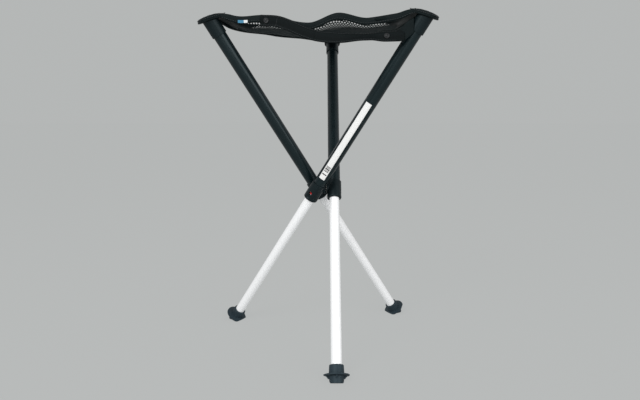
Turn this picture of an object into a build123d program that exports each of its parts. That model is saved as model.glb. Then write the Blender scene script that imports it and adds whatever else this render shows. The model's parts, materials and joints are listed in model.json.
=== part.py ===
"""Telescopic tripod stool: three skew legs on radial pins round a hub, telescoping feet, a sewn seat."""
import math
import os

from build123d import *

os.makedirs("parts", exist_ok=True)

# Driving sizes in mm and degrees
pivot_height = 317.0
leg_tilt = 34.76
leg_offset = 25.0
upper_od = 25.0
upper_wall = 1.25
lower_od = 20.0
lower_wall = 1.2
upper_reach = 384.0
upper_tail = 18.0
lower_head = 46.0
sleeve_wall = 2.25
sleeve_up = 14.0
sleeve_down = 25.0
sleeve_round = 2.5
sleeve_chamfer = 0.6
pin_dia = 6.0
pin_head_dia = 10.0
pin_head_thick = 1.4
washer_thick = 0.8
boss_dia = 22.0
boss_proud = 1.55
hub_tall = 22.0
hub_chamfer = 0.8
hub_web = 0.8
button_dia = 6.0
button_drop = 9.0
button_out = 2.4
button_round = 0.8
button_brim = 1.2
button_flange_thick = 1.2
spring_thick = 0.5
spring_wide = 5.0
scoop_drop = 17.0
scoop_ball = 9.0
scoop_deep = 1.6
collar_wall = 2.0
collar_long = 24.0
collar_round = 0.8
cap_rise = 5.0
plug_long = 20.0
pocket_slope = 14.8
pocket_thick = 8.5
pocket_half = 16.0
pocket_inner = 15.0
pocket_outer = 22.0
rivet_dia = 4.0
rivet_head_dia = 9.0
rivet_head_thick = 1.6
rivet_round = 1.2
bush_long = 30.0
bush_lip = 2.0
foot_pad_dia = 28.0
foot_pad_taper = 1.5
foot_pad_below = 4.0
foot_flange_dia = 47.0
foot_flange_lift = 8.5
foot_flange_root = 5.0
foot_flange_rise = 1.5
foot_cup_long = 15.0
foot_cup_wall = 3.2
foot_cup_flare = 0.8
foot_rib = 3.0
foot_rib_low = 4.0
foot_rib_in = 2.0
foot_rib_out = 1.0
foot_rib_short = 3.0
foot_rib_bite = 0.4
foot_disc_thick = 2.0
foot_floor = 12.0
nest_gap = 0.45
seat_thick = 2.5
seat_sag = 20.0
seat_corner_half = 11.0
hem_thick = 6.0
front_hem_tall = 16.0
rear_hem_tall = 10.0
strap_wide = 20.0
strap_thick = 2.0
snap_dia = 10.0
snap_thick = 2.2
tab_drop = 0.5

# Clearances in mm
fit = 0.05
glue = 0.1
turn = 0.2
slide = 0.25
bush_slide = 0.1
button_play = 0.15
hole_play = 0.3
past = 1.0
bite = 0.5

# Derived sizes
tilt = math.radians(leg_tilt)
upper_r = upper_od / 2
upper_in = upper_r - upper_wall
lower_r = lower_od / 2
lower_in = lower_r - lower_wall
sleeve_r = upper_r + sleeve_wall
boss_face = sleeve_r + boss_proud
hub_flat = leg_offset - boss_face - turn - washer_thick
pin_seat = upper_r + turn
collar_r = upper_r + collar_wall
ground = pivot_height / math.cos(tilt)
foot_flat = leg_offset * math.sin(math.radians(60)) - nest_gap
button_top = upper_in - slide
button_flange_r = button_dia / 2 + button_brim
button_flange_top = math.sqrt(lower_in**2 - button_flange_r**2) - button_out - 2 * slide
pin_root = pin_dia / 2 / math.tan(math.radians(60)) + hub_web
SIDES = {"rear": 0.0, "left": 120.0, "right": 240.0}

# Waves of the front hem: share of its length, rise in mm
FRONT_WAVE = (
    (0.0, 0.0),
    (0.1, -3.5),
    (0.24, 2.5),
    (0.465, -8.5),
    (0.615, 6.5),
    (0.77, -6.5),
    (0.9, -5.5),
    (1.0, 0.0),
)

# Middle line of the strap: share of the half edge, rise in mm from the edge's middle
STRAP_LINE = (
    (-0.56, 2.5),
    (-0.36, -1.0),
    (-0.28, -6.0),
    (-0.15, -16.0),
    (0.0, -25.5),
    (0.2, -30.0),
    (0.47, -30.0),
    (0.72, -28.5),
    (0.89, -28.0),
)
LEFT_SNAP = (-0.5, 1.5)


def rod(radius, low, high):
    """A cylinder along the leg between two levels."""
    return Pos(0, 0, (low + high) / 2) * Cylinder(radius, high - low)


def spoke(radius, near, far, level=0.0):
    """A cylinder along the radial direction of a leg."""
    return Pos((near + far) / 2, 0, level) * Rot(0, 90, 0) * Cylinder(radius, far - near)


def solid_of(shape):
    """The one solid that a shape holds."""
    solids = shape.solids()
    if len(solids) != 1:
        raise ValueError(f"{len(solids)} solids")
    return solids[0]


def heading(angle):
    """Unit vector at an angle on the floor."""
    return Vector(math.cos(math.radians(angle)), math.sin(math.radians(angle)), 0)


def leg_frame(angle):
    """Where a leg stands: origin on its axis at the pivot, Z up along the leg, X away from the hub."""
    return Rot(0, 0, angle) * Pos(leg_offset, 0, pivot_height) * Rot(-leg_tilt, 0, 0)


def crown_frame():
    """The sloping plane on the corner cap that the pocket lies on, in the leg's frame."""
    return Pos(0, 0, upper_reach + cap_rise) * Rot(pocket_slope, 0, 0)


def make_upper_tube():
    """Black tube from the sleeve up to the seat corner, with the lock hole."""
    tube = rod(upper_r, -upper_tail, upper_reach) - rod(upper_in, -upper_tail - past, upper_reach + past)
    return tube - spoke(button_dia / 2 + hole_play, 0, upper_r + past, -button_drop)


def make_joint_sleeve():
    """Moulded sleeve that turns on the hub pin and guides the lower tube."""
    sleeve = rod(sleeve_r, -sleeve_down, sleeve_up)
    ends = sleeve.edges().group_by(Axis.Z)
    sleeve = fillet(ends[0], sleeve_round)
    sleeve = chamfer(sleeve.edges().group_by(Axis.Z)[-1], sleeve_chamfer)
    sleeve += spoke(boss_dia / 2, -boss_face, 0)
    sleeve -= rod(upper_r + fit, -upper_tail - fit, sleeve_up + past)
    sleeve -= rod(lower_r + slide, -sleeve_down - past, 0)
    sleeve -= spoke(pin_dia / 2 + fit, -boss_face - past, 0)
    sleeve -= spoke(pin_head_dia / 2 + turn, -pin_seat - pin_head_thick - glue, 0)
    sleeve -= spoke(button_dia / 2 + hole_play, 0, sleeve_r + past, -button_drop)
    sleeve -= Pos(sleeve_r + scoop_ball - scoop_deep, 0, -scoop_drop) * Sphere(scoop_ball)
    return sleeve


def make_seat_collar():
    """Moulded ring round the tube's top end."""
    ring = rod(collar_r, upper_reach - collar_long, upper_reach)
    ring = fillet(ring.edges().group_by(Axis.Z)[0], collar_round)
    return ring - rod(upper_r + fit, upper_reach - collar_long - past, upper_reach + past)


def make_corner_cap():
    """Plug in the tube end with a sloping head for the seat pocket."""
    head = rod(collar_r, upper_reach + fit, upper_reach + 3 * cap_rise)
    cap = head + rod(upper_in - fit, upper_reach - plug_long, upper_reach + cap_rise / 2)
    cap -= crown_frame() * Pos(0, 0, 4 * cap_rise) * Box(8 * collar_r, 8 * collar_r, 8 * cap_rise)
    return cap - crown_frame() * rod(rivet_dia / 2 + fit, -cap_rise - past, past)


def make_corner_pocket():
    """Leatherette ear of the seat that covers the cap."""
    long = pocket_inner + pocket_outer
    outline = Pos(0, (pocket_outer - pocket_inner) / 2) * Rectangle(2 * pocket_half, long)
    rows = outline.vertices().group_by(Axis.Y)
    outline = fillet(rows[-1], 0.9 * pocket_half)
    outline = fillet(outline.vertices().group_by(Axis.Y)[0], 0.3 * pocket_half)
    slab = extrude(outline, pocket_thick)
    slab = fillet(slab.edges().group_by(Axis.Z)[0], 0.36 * pocket_thick)
    slab = fillet(slab.edges().group_by(Axis.Z)[-1], 0.42 * pocket_thick)
    slab -= rod(rivet_dia / 2 + fit, -past, pocket_thick + past)
    return crown_frame() * Pos(0, 0, glue) * slab


def make_corner_rivet():
    """Rivet that holds the pocket to the cap."""
    top = pocket_thick + 2 * glue
    head = rod(rivet_head_dia / 2, top, top + rivet_head_thick)
    head = fillet(head.edges().group_by(Axis.Z)[-1], rivet_round)
    return crown_frame() * (head + rod(rivet_dia / 2, -cap_rise, top + bite))


def make_lower_tube():
    """Silver tube that slides in the upper one."""
    low = foot_floor + foot_disc_thick + 2 * fit - ground
    tube = rod(lower_r, low, lower_head) - rod(lower_in, low - past, lower_head + past)
    return tube - spoke(button_dia / 2 + button_play, 0, lower_r + past, -button_drop)


def make_guide_bush():
    """Sliding bush round the lower tube's top end."""
    bush = rod(upper_in - bush_slide, lower_head - bush_long, lower_head + bush_lip)
    bush -= rod(lower_r + fit, lower_head - bush_long - past, lower_head + fit)
    return bush - rod(lower_in, lower_head, lower_head + bush_lip + past)


def make_foot(frame):
    """Rubber foot: cup, flange with two nesting flats, ribs and a sole cut level with the floor."""
    pad_r = foot_pad_dia / 2
    flange_r = foot_flange_dia / 2
    cup_r = lower_r + foot_cup_wall
    flange_top = foot_flange_lift + foot_flange_root
    cup_top = flange_top + foot_cup_long
    rim = foot_flange_lift + foot_flange_rise
    profile = Polyline(
        (0, -foot_pad_below),
        (pad_r - foot_pad_taper, -foot_pad_below),
        (pad_r, foot_flange_lift),
        (flange_r, rim),
        (flange_r, (rim + flange_top) / 2),
        (cup_r + foot_cup_flare, flange_top),
        (cup_r, cup_top),
        (lower_r + fit, cup_top),
        (lower_r + fit, foot_floor),
        (0, foot_floor),
        close=True,
    )
    foot = revolve(Plane.XZ * make_face(profile), Axis.Z)
    brim = [e for e in foot.edges().filter_by(GeomType.CIRCLE) if e.center().Z > cup_top - fit]
    foot = fillet([e for e in brim if e.radius > lower_r + past], 0.45 * foot_cup_wall)
    rib_line = Polyline(
        (pad_r - foot_rib_in, foot_rib_low),
        (pad_r + foot_rib_out, foot_rib_low),
        (flange_r - foot_rib_short, rim + foot_rib_bite),
        (pad_r - foot_rib_in, rim + foot_rib_bite),
        close=True,
    )
    rib = extrude(Plane.XZ * make_face(rib_line), foot_rib / 2, both=True)
    for angle in (0, 90, 180, 270):
        foot += Rot(0, 0, angle) * rib
    flat = Pos(foot_flat + flange_r, 0, rim) * Box(2 * flange_r, 4 * flange_r, 4 * rim)
    for angle in (150, 210):
        foot -= Rot(0, 0, angle) * flat
    foot = frame * Pos(0, 0, -ground) * foot
    below = frame * Pos(0, 0, -ground) * Rot(leg_tilt, 0, 0) * Pos(0, 0, -flange_r)
    return foot - below * Box(6 * flange_r, 6 * flange_r, 2 * flange_r)


def make_foot_disc():
    """Steel disc between the tube end and the rubber."""
    return rod(lower_r - glue, foot_floor + fit - ground, foot_floor + foot_disc_thick + fit - ground)


def make_lock_button():
    """Push button with a collar that keeps it in the lower tube."""
    stem = spoke(button_dia / 2, button_flange_top - bite, button_top, -button_drop)
    stem = fillet(stem.edges().group_by(Axis.X)[-1], button_round)
    brim_low = button_flange_top - button_flange_thick
    return stem + spoke(button_flange_r, brim_low, button_flange_top, -button_drop)


def make_button_spring():
    """U-shaped leaf spring behind the button."""
    front = button_flange_top - button_flange_thick - slide - spring_thick / 2
    back = -math.sqrt(lower_in**2 - (spring_wide / 2) ** 2) + fit + spring_thick / 2
    bend = (front - back) / 2
    arms = button_flange_r + button_drop
    bow = Pos((front + back) / 2, 0, 0) * Rot(90, 0, 0) * (
        Cylinder(bend + spring_thick / 2, spring_wide) - Cylinder(bend - spring_thick / 2, spring_wide + past)
    )
    bow = bow & (Pos(0, 0, 2 * bend) * Box(8 * bend, 2 * spring_wide, 4 * bend))
    for x in (front, back):
        bow += Pos(x, 0, -arms / 2) * Box(spring_thick, spring_wide, arms)
    return bow


def make_hub():
    """Three-sided block with a radial pin hole in each face."""
    corners = [heading(angle + 60) * (2 * hub_flat) for angle in SIDES.values()]
    block = Pos(0, 0, -hub_tall / 2) * extrude(make_face(Polyline(*corners, close=True)), hub_tall)
    block = fillet(block.edges().filter_by(Axis.Z), 0.4 * hub_flat)
    block = chamfer(block.faces().filter_by(Axis.Z).edges(), hub_chamfer)
    for angle in SIDES.values():
        block -= Rot(0, 0, angle) * spoke(pin_dia / 2 + fit, pin_root - fit, 2 * hub_flat)
    return Pos(0, 0, pivot_height) * block


def make_pivot_pin(angle):
    """Headed pin from the hub into a sleeve."""
    head = leg_offset - pin_seat - pin_head_thick
    pin = spoke(pin_dia / 2, pin_root, head + bite) + spoke(pin_head_dia / 2, head, head + pin_head_thick)
    return Pos(0, 0, pivot_height) * Rot(0, 0, angle) * pin


def make_thrust_washer(angle):
    """Washer between the hub and a sleeve."""
    washer = spoke(hub_flat, hub_flat + fit, hub_flat + washer_thick)
    washer -= spoke(pin_dia / 2 + glue, 0, 2 * hub_flat)
    return Pos(0, 0, pivot_height) * Rot(0, 0, angle) * washer


# Seat corners, from where the pocket's inner end stands
crown_level = upper_reach + cap_rise
slope = math.radians(pocket_slope)
inner_along = -pocket_inner * math.cos(slope) - pocket_thick / 2 * math.sin(slope)
inner_up = -pocket_inner * math.sin(slope) + pocket_thick / 2 * math.cos(slope)
lean = tilt - slope
pocket_end = (crown_level + inner_up) * math.sin(tilt) + inner_along * math.cos(tilt)
corner_t = pocket_end - slide - seat_thick / 2 * math.tan(lean)
corner_z = pivot_height + (crown_level + inner_up) * math.cos(tilt) - inner_along * math.sin(tilt)
corner_r = math.hypot(corner_t, leg_offset)
seat_ball = (corner_r**2 + seat_sag**2) / (2 * seat_sag)
seat_low = corner_z - seat_sag


def seat_corner(angle, side):
    """One end of the seat panel's short edge at a leg."""
    return heading(angle) * (leg_offset + side * seat_corner_half) + heading(angle + 90) * corner_t


class SeatEdge:
    """One long edge of the seat panel, from the corner at an angle to the next one."""

    def __init__(self, angle):
        start = seat_corner(angle, -1)
        end = seat_corner(angle + 120, 1)
        self.along = (end - start).normalized()
        self.outward = Vector(self.along.Y, -self.along.X, 0)
        self.out = start.dot(self.outward)
        self.first = start.dot(self.along)
        self.last = end.dot(self.along)
        self.half = (self.last - self.first) / 2
        self.middle = (self.last + self.first) / 2
        self.leans = (self.outward.dot(heading(angle + 90)), self.outward.dot(heading(angle + 210)))

    def plane(self, out):
        """Upright plane along the edge: X along the edge, Y up, Z outward."""
        return Plane(origin=self.outward * (self.out + out), x_dir=self.along, z_dir=self.outward)

    def level(self, s):
        """Level of the seat's edge at a place along it."""
        return seat_low + seat_ball - math.sqrt(seat_ball**2 - self.out**2 - s**2)

    def ends(self, tall):
        """Where a hem of this height starts and stops, clear of the pockets."""
        gaps = []
        for lean_out in self.leans:
            gap = hem_thick * lean_out + tall / 2 * math.tan(lean) + slide
            gaps.append(gap / math.sqrt(1 - lean_out**2))
        return self.first + gaps[0], self.last - gaps[1]


def make_seat_mesh():
    """Sagging mesh panel between the three corners."""
    points = [seat_corner(angle, side) for angle in SIDES.values() for side in (1, -1)]
    sheet = extrude(make_face(Polyline(*points, close=True)), 4 * seat_sag)
    sheet = Pos(0, 0, seat_low - seat_sag) * sheet
    middle = Pos(0, 0, seat_low + seat_ball)
    return sheet & (middle * Sphere(seat_ball + seat_thick / 2)) - middle * Sphere(seat_ball - seat_thick / 2)


def make_rear_hem(edge):
    """Bound edge of the seat between two corners."""
    h = rear_hem_tall / 2
    a, b = edge.ends(rear_hem_tall)
    m = (a + b) / 2
    top = ThreePointArc((a, edge.level(a) + h), (m, edge.level(m) + h), (b, edge.level(b) + h))
    low = ThreePointArc((a, edge.level(a) - h), (m, edge.level(m) - h), (b, edge.level(b) - h))
    band = make_face([top, low, Line(top @ 0, low @ 0), Line(top @ 1, low @ 1)])
    return extrude(edge.plane(fit) * band, hem_thick)


def make_front_hem(edge):
    """Front edge of the seat, thrown into soft waves."""
    h = front_hem_tall / 2
    a, b = edge.ends(front_hem_tall)
    line = [(a + k * (b - a), edge.level(a + k * (b - a)) + w) for k, w in FRONT_WAVE]
    top = Spline(*[(s, z + h) for s, z in line])
    low = Spline(*[(s, z - h) for s, z in line])
    band = make_face([top, low, Line(top @ 0, low @ 0), Line(top @ 1, low @ 1)])
    return extrude(edge.plane(fit) * band, hem_thick)


def strap_point(edge, along, rise):
    """A point given as a share of the half edge and a rise from the edge's middle."""
    return edge.middle + along * edge.half, edge.level(0) + rise


def make_carry_strap(edge):
    """Webbing strap that hangs in front of the front hem."""
    w = strap_wide / 2
    line = [strap_point(edge, *point) for point in STRAP_LINE]
    top = Spline(*[(s, z + w) for s, z in line])
    low = Spline(*[(s, z - w) for s, z in line])
    band = make_face([top, low, Line(top @ 0, low @ 0), Line(top @ 1, low @ 1)])
    return extrude(edge.plane(hem_thick + 2 * fit) * band, strap_thick)


def make_strap_snap(edge, place, out):
    """Snap fastener at a place along the edge, on a face that stands a distance out from it."""
    snap = extrude(Circle(snap_dia / 2), snap_thick)
    snap = fillet(snap.edges().group_by(Axis.Z)[-1], 0.5 * snap_thick)
    return edge.plane(out + fit).location * Pos(*place, 0) * snap


def make_strap_tab(edge):
    """Short webbing tab behind the strap's right end, on the right leg's collar."""
    s, z = strap_point(edge, *STRAP_LINE[-1])
    start = strap_point(edge, *STRAP_LINE[-2])[0] - snap_dia
    tab = Pos((s + start) / 2, z - tab_drop) * Rectangle(s - start, 0.84 * strap_wide)
    return extrude(edge.plane(hem_thick - strap_thick + fit) * tab, strap_thick)


front = SeatEdge(SIDES["left"])
nodes = {"hub_block": make_hub(), "seat_mesh": make_seat_mesh()}
nodes["seat_hem_front"] = make_front_hem(front)
nodes["seat_hem_right"] = make_rear_hem(SeatEdge(SIDES["right"]))
nodes["seat_hem_left"] = make_rear_hem(SeatEdge(SIDES["rear"]))
nodes["carry_strap"] = make_carry_strap(front)
nodes["strap_tab"] = make_strap_tab(front)
strap_face = hem_thick + strap_thick + 2 * fit
nodes["strap_snap_left"] = make_strap_snap(front, strap_point(front, *LEFT_SNAP), strap_face)
nodes["strap_snap_right"] = make_strap_snap(front, strap_point(front, *STRAP_LINE[-2]), strap_face)
leg_parts = {
    "upper_tube": make_upper_tube(),
    "joint_sleeve": make_joint_sleeve(),
    "seat_collar": make_seat_collar(),
    "corner_cap": make_corner_cap(),
    "corner_pocket": make_corner_pocket(),
    "corner_rivet": make_corner_rivet(),
    "lower_tube": make_lower_tube(),
    "guide_bush": make_guide_bush(),
    "foot_disc": make_foot_disc(),
    "lock_button": make_lock_button(),
    "button_spring": make_button_spring(),
}
for side, angle in SIDES.items():
    frame = leg_frame(angle)
    for name, shape in leg_parts.items():
        nodes[f"{name}_{side}"] = frame * shape
    nodes[f"foot_{side}"] = make_foot(frame)
    nodes[f"pivot_pin_{side}"] = make_pivot_pin(angle)
    nodes[f"thrust_washer_{side}"] = make_thrust_washer(angle)

# The origin goes to the middle of the bounding box, on the floor
box = Compound(children=[solid_of(shape) for shape in nodes.values()]).bounding_box()
hub_x = -(box.min.X + box.max.X) / 2
hub_y = -(box.min.Y + box.max.Y) / 2
placed = {name: Pos(hub_x, hub_y, -box.min.Z) * solid_of(shape) for name, shape in nodes.items()}
for name, shape in placed.items():
    export_step(shape, f"parts/{name}.step")
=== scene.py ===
"""Looks of a telescopic tripod stool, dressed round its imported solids. Lengths are metres, angles radians."""
import json
import math
import random

import bmesh
import bpy
import numpy as np
from bpy.props import FloatProperty, FloatVectorProperty, PointerProperty
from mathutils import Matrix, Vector


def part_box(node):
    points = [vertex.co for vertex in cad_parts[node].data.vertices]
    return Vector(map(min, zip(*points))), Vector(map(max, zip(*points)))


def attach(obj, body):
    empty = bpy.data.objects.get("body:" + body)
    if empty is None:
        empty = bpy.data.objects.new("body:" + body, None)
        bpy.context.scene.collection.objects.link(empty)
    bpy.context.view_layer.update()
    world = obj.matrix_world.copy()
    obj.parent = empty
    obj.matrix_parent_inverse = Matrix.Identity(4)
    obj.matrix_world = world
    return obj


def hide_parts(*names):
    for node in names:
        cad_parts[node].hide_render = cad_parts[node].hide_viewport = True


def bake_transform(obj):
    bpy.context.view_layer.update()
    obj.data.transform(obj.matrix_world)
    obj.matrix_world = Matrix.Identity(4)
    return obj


bl_info = {
    "name": "Telescopic Tripod Stool",
    "version": (1, 0, 0),
    "blender": (4, 5, 0),
    "location": "View3D > Sidebar > Stool",
    "description": "Dresses the solids of a folding tripod stool with finishes, a sewn net seat and a stage",
    "category": "Object",
}

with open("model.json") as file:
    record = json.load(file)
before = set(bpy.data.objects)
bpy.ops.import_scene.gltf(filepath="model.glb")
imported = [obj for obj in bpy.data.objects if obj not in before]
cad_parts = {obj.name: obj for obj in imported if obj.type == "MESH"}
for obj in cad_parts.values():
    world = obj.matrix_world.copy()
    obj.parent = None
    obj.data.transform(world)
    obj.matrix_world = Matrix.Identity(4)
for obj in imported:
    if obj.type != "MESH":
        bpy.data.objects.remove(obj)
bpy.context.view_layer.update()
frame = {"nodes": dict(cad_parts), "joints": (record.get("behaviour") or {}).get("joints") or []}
JOINTS = {joint["name"]: joint for joint in frame["joints"]}
SIDES = ("right", "left", "rear")
RIM_BAND = 2e-4

# Waves of the hems: share of the edge's length, rise over the sag
FRONT_WAVE = (
    (0.0, 0.0), (0.10, -0.0035), (0.24, 0.0025), (0.465, -0.0085),
    (0.615, 0.0065), (0.77, -0.0065), (0.90, -0.0055), (1.0, 0.0),
)
LEFT_WAVE = ((0.0, 0.0), (0.3, 0.006), (0.55, 0.004), (0.88, -0.005), (1.0, 0.0))
RIGHT_WAVE = ((0.0, 0.0), (0.25, -0.002), (0.55, 0.002), (1.0, 0.0))
WAVE_REACH = 0.045

# Hems: steps along them, how they pucker and roll (size, radians per metre), how they slim at their ends
HEM_STEPS = 150
HEM_PUCKER = ((0.035, 700), (0.03, 310))
HEM_ROLL = (0.06, 95)
HEM_END = 0.022
HEM_END_SHARE = 0.6
HEM_ROW = 0.27

# How the net hangs in a pouch behind the front hem
POUCH_ENDS = 0.05
POUCH_RISE = 0.009
POUCH_FADE = 0.08

# The strap: share of the half edge, rise from the edge's middle
STRAP_LINE = (
    (-0.56, 0.0025), (-0.36, -0.001), (-0.28, -0.006), (-0.15, -0.016), (0.0, -0.0255),
    (0.2, -0.030), (0.47, -0.030), (0.72, -0.0285), (0.89, -0.028),
)
STRAP_TWIST = (0.15, 0.74)
STRAP_TWIST_IN = 0.35
STRAP_TWIST_OUT = 0.18
STRAP_GAP = 0.0016
STRAP_BOW = 0.0035
STRAP_TIP = 0.0074
STRAP_TIP_ROUND = 0.008
STRAP_ROW = 0.39
STRAP_BARS = (4, 14)
BAR_STITCHES = 9
BAR_REACH = 0.76
BAR_STITCH = 0.7
WEB_TOP = ((0.80, -0.020), (0.86, -0.014), (0.92, -0.004), (0.985, 0.002))
WEB_LOW = ((0.80, -0.036), (0.86, -0.037), (0.92, -0.033), (0.985, -0.023))
WEB_THICK = 0.0016
TAB_THICK = 0.0022

# Snap cap: distance from the strap's face, share of the radius
SNAP_PROFILE = (
    (-0.0008, 0.55), (-0.0004, 0.97), (0.0002, 1.0), (0.0008, 0.93), (0.0010, 0.72),
    (0.0007, 0.62), (0.0007, 0.4), (0.0012, 0.3), (0.0013, 0.08),
)
SNAP_SINK = 0.0006

# Stitch: place along it, rise and share of its width
STITCH_PROFILE = (
    (-0.5, -0.6, 0.35), (-0.38, 0.15, 0.9), (0.0, 0.4, 1.0), (0.38, 0.15, 0.9), (0.5, -0.6, 0.35),
)
THREAD_WIDE = 0.0008
STRAP_THREAD_WIDE = 0.0006

# Corner pocket: height from -1 to 1, share of its outline
POCKET_PROFILE = (
    (-1.0, 0.55), (-0.93, 0.86), (-0.6, 0.97), (-0.2, 1.0), (0.25, 1.0),
    (0.62, 0.965), (0.9, 0.86), (1.0, 0.66), (1.0, 0.3),
)
POCKET_SQUARE = 0.55
POCKET_CREASE = 0.0005
PIPING_RADIUS = 0.0018
PIPING_INSET = 0.965

# Tag on the front hem: finish and its ends along the edge
TAG_HALVES = (("tag_a", "tag_blue", -0.139, -0.128), ("tag_b", "tag_pale", -0.128, -0.121))
TAG_DROP = 0.0035
TAG_TALL = 0.0050
TAG_THICK = 0.0009
TAG_GAP = 0.0007

# Label on the tube: how far it is turned from the camera, its lift and its plain bars
TUBE_RADIUS = 0.0125
LABEL_TURN = math.radians(13)
LABEL_LIFT = 0.00012
LABEL_ROWS = 240
LABEL_COLUMNS = 16
BAR_ROWS = (8, 44)
BAR_COLUMNS = (1, 14)

# Stage: camera, floor, surround and lights (name, place, size, power)
CAMERA_SENSOR = 36.0
CAMERA_LENS = 30.5
CAMERA_SHIFT = 0.0045
FLOOR_RADIUS = 40.0
FLOOR_DROP = 0.0005
FLOOR_GLOW = 0.9
SURROUND_STRENGTH = 0.55
BACKDROP_STRENGTH = 0.962
LIGHTS = (
    ("Key", (-1.3, -1.9, 1.9), 1.6, 42.0),
    ("Fill", (1.7, -1.6, 1.1), 1.8, 22.0),
    ("Low", (0.0, -2.2, 0.25), 1.4, 8.0),
)
LIGHT_AIM = (0.0, 0.0, 0.33)

# Cool tint of the highlights on black finishes
COOL = (0.78, 0.95, 1.0, 1.0)


class Leg:
    """A leg's own axes at rest: x away from the hub, z up along the leg, origin at the pivot."""

    def __init__(self, side):
        self.side = side
        self.origin = Vector(JOINTS[f"fold_{side}"]["pos_m"])
        self.x = Vector(JOINTS[f"fold_{side}"]["axis"]).normalized()
        self.z = Vector(JOINTS[f"telescope_{side}"]["axis"]).normalized()
        self.y = self.z.cross(self.x)
        self.around = Vector((-self.x.y, self.x.x, 0.0))
        self.body = f"upper_leg_{side}"

    def at(self, x, y, z):
        """A point given in the leg's axes."""
        return self.origin + self.x * x + self.y * y + self.z * z

    def inside(self, point):
        """A point of the frame, in the leg's axes."""
        step = point - self.origin
        return Vector((step.dot(self.x), step.dot(self.y), step.dot(self.z)))


LEGS = {side: Leg(side) for side in SIDES}
HUB = sum((leg.origin for leg in LEGS.values()), Vector()) / len(LEGS)
UP = Vector((0.0, 0.0, 1.0))


def node_points(node):
    """The rest points of a CAD node."""
    return [v.co.copy() for v in frame["nodes"][node].data.vertices]


class SeatPlan:
    """Plan of the seat panel, read from its solid: short corner edges, long edges and sag."""

    def __init__(self, sag):
        points = node_points("seat_mesh")
        self.corners = {}
        heights = []
        for side, leg in LEGS.items():
            reach = [(p - HUB).dot(leg.around) for p in points]
            rim = [p for p, r in zip(points, reach) if r > max(reach) - RIM_BAND]
            across = [(p - HUB).dot(leg.x) for p in rim]
            far = leg.around * max(reach)
            self.corners[side] = [HUB + leg.x * k + far for k in (max(across), min(across))]
            heights += [p.z for p in rim]
        self.corner_z = (max(heights) + min(heights)) / 2
        first = self.corners[SIDES[0]]
        self.corner_r = ((first[0] + first[1]) / 2 - HUB).xy.length
        self.low_z = self.corner_z - sag
        self.ball = (self.corner_r**2 + sag**2) / (2 * sag)

    def sag_level(self, point):
        """Level of the smooth sagging panel over a point."""
        r2 = (point - HUB).xy.length_squared
        return self.low_z + self.ball - math.sqrt(self.ball**2 - r2)

    def outline(self):
        """The panel's six corners in order round the hub."""
        return [p for side in ("rear", "left", "right") for p in self.corners[side]]


class SeatEdge:
    """One long edge of the seat panel, from one corner to the next."""

    def __init__(self, plan, first, last, wave):
        self.plan = plan
        start = plan.corners[first][1]
        end = plan.corners[last][0]
        self.along = Vector((end.x - start.x, end.y - start.y, 0.0)).normalized()
        self.outward = Vector((self.along.y, -self.along.x, 0.0))
        self.out = (start - HUB).dot(self.outward)
        self.first = (start - HUB).dot(self.along)
        self.last = (end - HUB).dot(self.along)
        self.middle = (self.first + self.last) / 2
        self.half = (self.last - self.first) / 2
        self.wave_points = wave

    def wave(self, s):
        """How far the cloth stands above its sag at a place along the edge."""
        k = (s - self.first) / (self.last - self.first)
        return smooth_line(self.wave_points, min(1.0, max(0.0, k)))

    def point(self, s, out):
        """A point at the edge's level, a distance outside it."""
        flat = HUB + self.along * s + self.outward * self.out
        level = self.plan.sag_level(flat) + self.wave(s)
        flat = flat + self.outward * out
        return Vector((flat.x, flat.y, level))

    def pouch(self, point, deep):
        """How far the net hangs in a pouch behind the hem, over a point inside it."""
        step = point - HUB
        inside = max(0.0, self.out - step.dot(self.outward))
        s = step.dot(self.along)
        ends = ease((s - self.first) / POUCH_ENDS) * ease((self.last - s) / POUCH_ENDS)
        return deep * ends * (1 - math.exp(-inside / POUCH_RISE)) * math.exp(-inside / POUCH_FADE)

    def lift(self, point, reach):
        """What the edge's waves add to the panel over a point inside it."""
        step = point - HUB
        inside = max(0.0, self.out - step.dot(self.outward))
        return self.wave(step.dot(self.along)) * math.exp(-inside / reach)


def ease(k):
    """Smooth step from 0 to 1."""
    k = min(1.0, max(0.0, k))
    return k * k * (3 - 2 * k)


def smooth_line(points, k):
    """Value at k of a soft curve through (place, value) points, level at its ends."""
    for (k0, v0), (k1, v1) in zip(points, points[1:]):
        if k <= k1:
            return v0 + (v1 - v0) * ease((k - k0) / (k1 - k0))
    return points[-1][1]


# Finish of each solid, by how its name starts
FINISHES = {
    "hub_block": "moulded_black",
    "joint_sleeve": "moulded_black",
    "seat_collar": "moulded_black",
    "corner_cap": "moulded_black",
    "upper_tube": "tube_black",
    "lower_tube": "tube_silver",
    "guide_bush": "nylon",
    "thrust_washer": "nylon",
    "pivot_pin": "steel",
    "foot_disc": "steel",
    "button_spring": "steel",
    "corner_rivet": "steel_dark",
    "strap_snap": "steel_dark",
    "foot": "foot_rubber",
    "lock_button": "button_red",
    "seat_mesh": "seat_net",
    "seat_hem": "leatherette",
    "corner_pocket": "leatherette",
    "strap_tab": "leatherette",
    "carry_strap": "webbing",
}


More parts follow.
